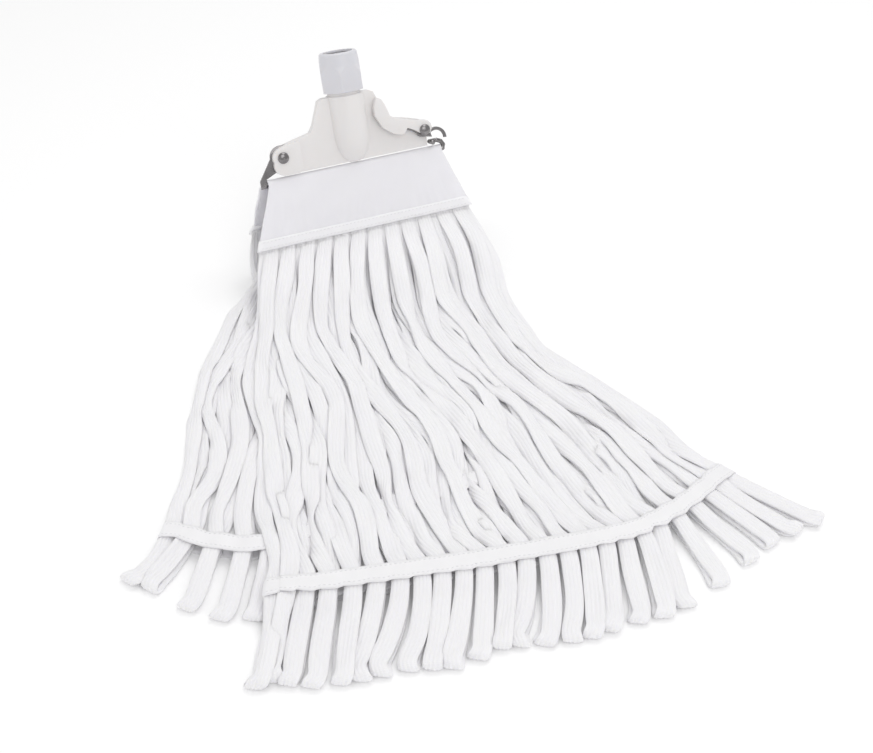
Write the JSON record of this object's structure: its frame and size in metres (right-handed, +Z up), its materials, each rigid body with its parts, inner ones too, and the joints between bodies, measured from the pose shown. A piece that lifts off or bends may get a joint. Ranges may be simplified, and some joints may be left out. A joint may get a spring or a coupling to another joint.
{
  "type": "string mop",
  "caption": "String mop head of looped knit tapes on a folded headband, held in a leaning side-gate plastic clamp with a handle socket.",
  "frame": {"origin": "middle of the outer box at floor level", "axes": "+Z up, +X along the clamp's gate rod, the strands spread towards -Y"},
  "size_m": [0.506, 0.5752, 0.1988],
  "materials": {
    "clamp_plastic": "satin moulded",
    "collar_plastic": "satin moulded",
    "steel": "bright zinc",
    "band_cloth": "smooth woven polyester",
    "tape_cloth": "fine ribbed tubular knit"
  },
  "bodies": {
    "mop_head": {"headband": "band_cloth", "binding_front": "band_cloth", "binding_back": "band_cloth", "tailband_front": "band_cloth", "tailband_back": "band_cloth", "loop_front_01": "tape_cloth", "loop_front_02": "tape_cloth", "loop_front_03": "tape_cloth", "loop_front_04": "tape_cloth", "loop_front_05": "tape_cloth", "loop_front_06": "tape_cloth", "loop_front_07": "tape_cloth", "loop_front_08": "tape_cloth", "loop_front_09": "tape_cloth", "loop_front_10": "tape_cloth", "loop_front_11": "tape_cloth", "loop_front_12": "tape_cloth", "loop_front_13": "tape_cloth", "loop_front_14": "tape_cloth", "loop_front_15": "tape_cloth", "loop_front_16": "tape_cloth", "loop_front_17": "tape_cloth", "loop_front_18": "tape_cloth", "loop_front_19": "tape_cloth", "loop_front_20": "tape_cloth", "loop_front_21": "tape_cloth", "loop_front_22": "tape_cloth", "loop_front_23": "tape_cloth", "loop_front_24": "tape_cloth", "loop_front_25": "tape_cloth", "loop_back_01": "tape_cloth", "loop_back_02": "tape_cloth", "loop_back_03": "tape_cloth", "loop_back_04": "tape_cloth", "loop_back_05": "tape_cloth", "loop_back_06": "tape_cloth", "loop_back_07": "tape_cloth", "loop_back_08": "tape_cloth", "loop_back_09": "tape_cloth", "loop_back_10": "tape_cloth", "loop_back_11": "tape_cloth", "loop_back_12": "tape_cloth", "loop_back_13": "tape_cloth", "loop_back_14": "tape_cloth", "loop_back_15": "tape_cloth"},
    "gate": {"gate_rod": "steel", "gate_strap": "steel"},
    "clamp": {"clamp_frame": "clamp_plastic", "grip_collet": "collar_plastic", "gate_rivet": "steel", "latch_rivet": "steel"},
    "latch": {"latch_lever": "clamp_plastic", "latch_hook": "steel"},
    "collar": {"collar_nut": "collar_plastic"}
  },
  "joints": [
    {"name": "mop_swing", "type": "hinge", "parent": "mop_head", "child": "gate", "pos_m": [0.0566, 0.2348, 0.096], "axis": [1, 0, 0], "range_deg": [-45, 40]},
    {"name": "gate_open", "type": "hinge", "parent": "gate", "child": "clamp", "pos_m": [-0.0104, 0.24268, 0.11654], "axis": [0, -0.9336, 0.3584], "range_deg": [0, 60]},
    {"name": "latch_close", "type": "hinge", "parent": "clamp", "child": "latch", "pos_m": [0.1236, 0.24268, 0.11654], "axis": [0, 0.9336, -0.3584], "range_deg": [0, 20]},
    {"name": "collar_turn", "type": "hinge", "parent": "clamp", "child": "collar", "pos_m": [0.0566, 0.26526, 0.17535], "axis": [0, 0.3584, 0.9336], "continuous": true}
  ]
}
